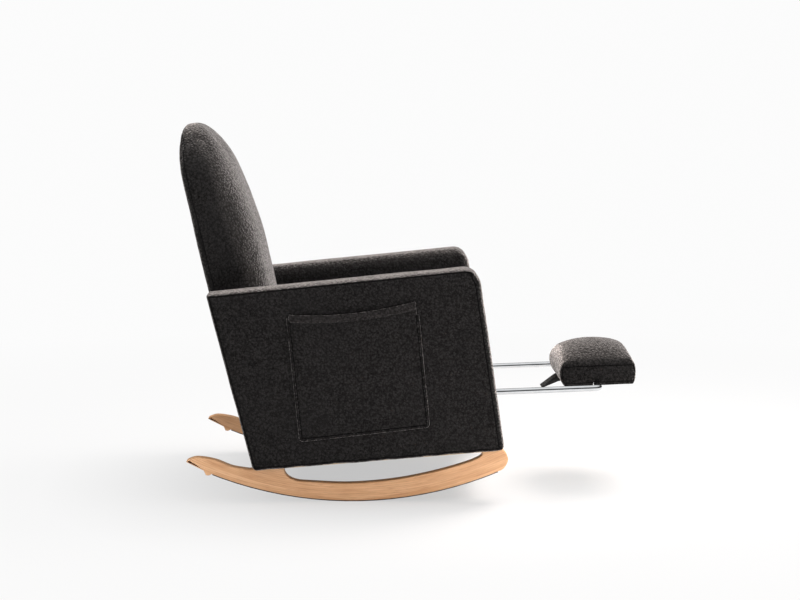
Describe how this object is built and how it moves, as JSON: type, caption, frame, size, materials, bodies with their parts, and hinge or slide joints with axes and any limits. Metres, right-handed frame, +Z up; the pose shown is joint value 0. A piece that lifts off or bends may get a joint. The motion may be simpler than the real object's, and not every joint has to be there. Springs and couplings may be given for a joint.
{
  "type": "rocking armchair with pull-out footrest",
  "caption": "Upholstered armchair on two curved wooden rocker rails, with a padded footrest on a steel tube that slides out from under the seat and turns over.",
  "frame": {"origin": "on the floor under the middle of the chair's overall length, with the footrest pulled out", "axes": "+X forward, toward the footrest; +Y to the sitter's left; +Z up"},
  "size_m": [1.206, 0.7194, 0.9646],
  "materials": {
    "grey_boucle": "charcoal grey looped boucle upholstery, matt",
    "black_cloth": "black woven webbing and lining, matt",
    "pale_wood": "clear satin lacquer on pale hardwood",
    "frame_wood": "planed, unfinished",
    "chromed_tube": "bright chrome",
    "zinc_steel": "zinc plated",
    "black_plastic": "moulded, fine grain",
    "dark_rubber": "matt anti-slip strip"
  },
  "bodies": {
    "chair": {"arm_cover_left": "grey_boucle", "arm_cover_right": "grey_boucle", "arm_frame_left": "frame_wood", "arm_frame_right": "frame_wood", "back_cushion": "grey_boucle", "back_frame": "frame_wood", "back_webbing_1": "black_cloth", "back_webbing_2": "black_cloth", "back_webbing_3": "black_cloth", "dust_cover": "black_cloth", "pocket_piping_left": "grey_boucle", "pocket_piping_right": "grey_boucle", "rail_bolt_front_left": "zinc_steel", "rail_bolt_front_right": "zinc_steel", "rail_bolt_rear_left": "zinc_steel", "rail_bolt_rear_right": "zinc_steel", "rail_strip_left": "dark_rubber", "rail_strip_right": "dark_rubber", "rear_panel": "grey_boucle", "rocker_rail_left": "pale_wood", "rocker_rail_right": "pale_wood", "rod_guide_left": "black_plastic", "rod_guide_right": "black_plastic", "seat_apron": "grey_boucle", "seat_cushion": "grey_boucle", "seat_deck": "black_cloth", "seat_rail_front": "frame_wood", "seat_rail_left": "frame_wood", "seat_rail_rear": "frame_wood", "seat_rail_right": "frame_wood", "seat_spring_1": "zinc_steel", "seat_spring_2": "zinc_steel", "seat_spring_3": "zinc_steel", "seat_spring_4": "zinc_steel", "side_pocket_left": "grey_boucle", "side_pocket_right": "grey_boucle", "spring_clip_front_1": "zinc_steel", "spring_clip_front_2": "zinc_steel", "spring_clip_front_3": "zinc_steel", "spring_clip_front_4": "zinc_steel", "spring_clip_rear_1": "zinc_steel", "spring_clip_rear_2": "zinc_steel", "spring_clip_rear_3": "zinc_steel", "spring_clip_rear_4": "zinc_steel", "stretcher_front": "frame_wood", "stretcher_rear": "frame_wood"},
    "footrest_slide": {"footrest_frame": "chromed_tube", "footrest_rear_bar": "chromed_tube", "tube_plug_left": "black_plastic", "tube_plug_right": "black_plastic"},
    "footrest_pad": {"footrest_board": "frame_wood", "footrest_clip_left": "zinc_steel", "footrest_clip_right": "zinc_steel", "footrest_pad": "grey_boucle", "pull_tab": "black_cloth"}
  },
  "joints": [
    {"name": "footrest_pull", "type": "slide", "parent": "chair", "child": "footrest_slide", "axis": [0.9993, 0, 0.0366], "range_m": [-0.38, 0]},
    {"name": "pad_turn", "type": "hinge", "parent": "footrest_slide", "child": "footrest_pad", "pos_m": [0.4999, 0, 0.27792], "axis": [0, -1, 0], "range_deg": [0, 180]}
  ]
}
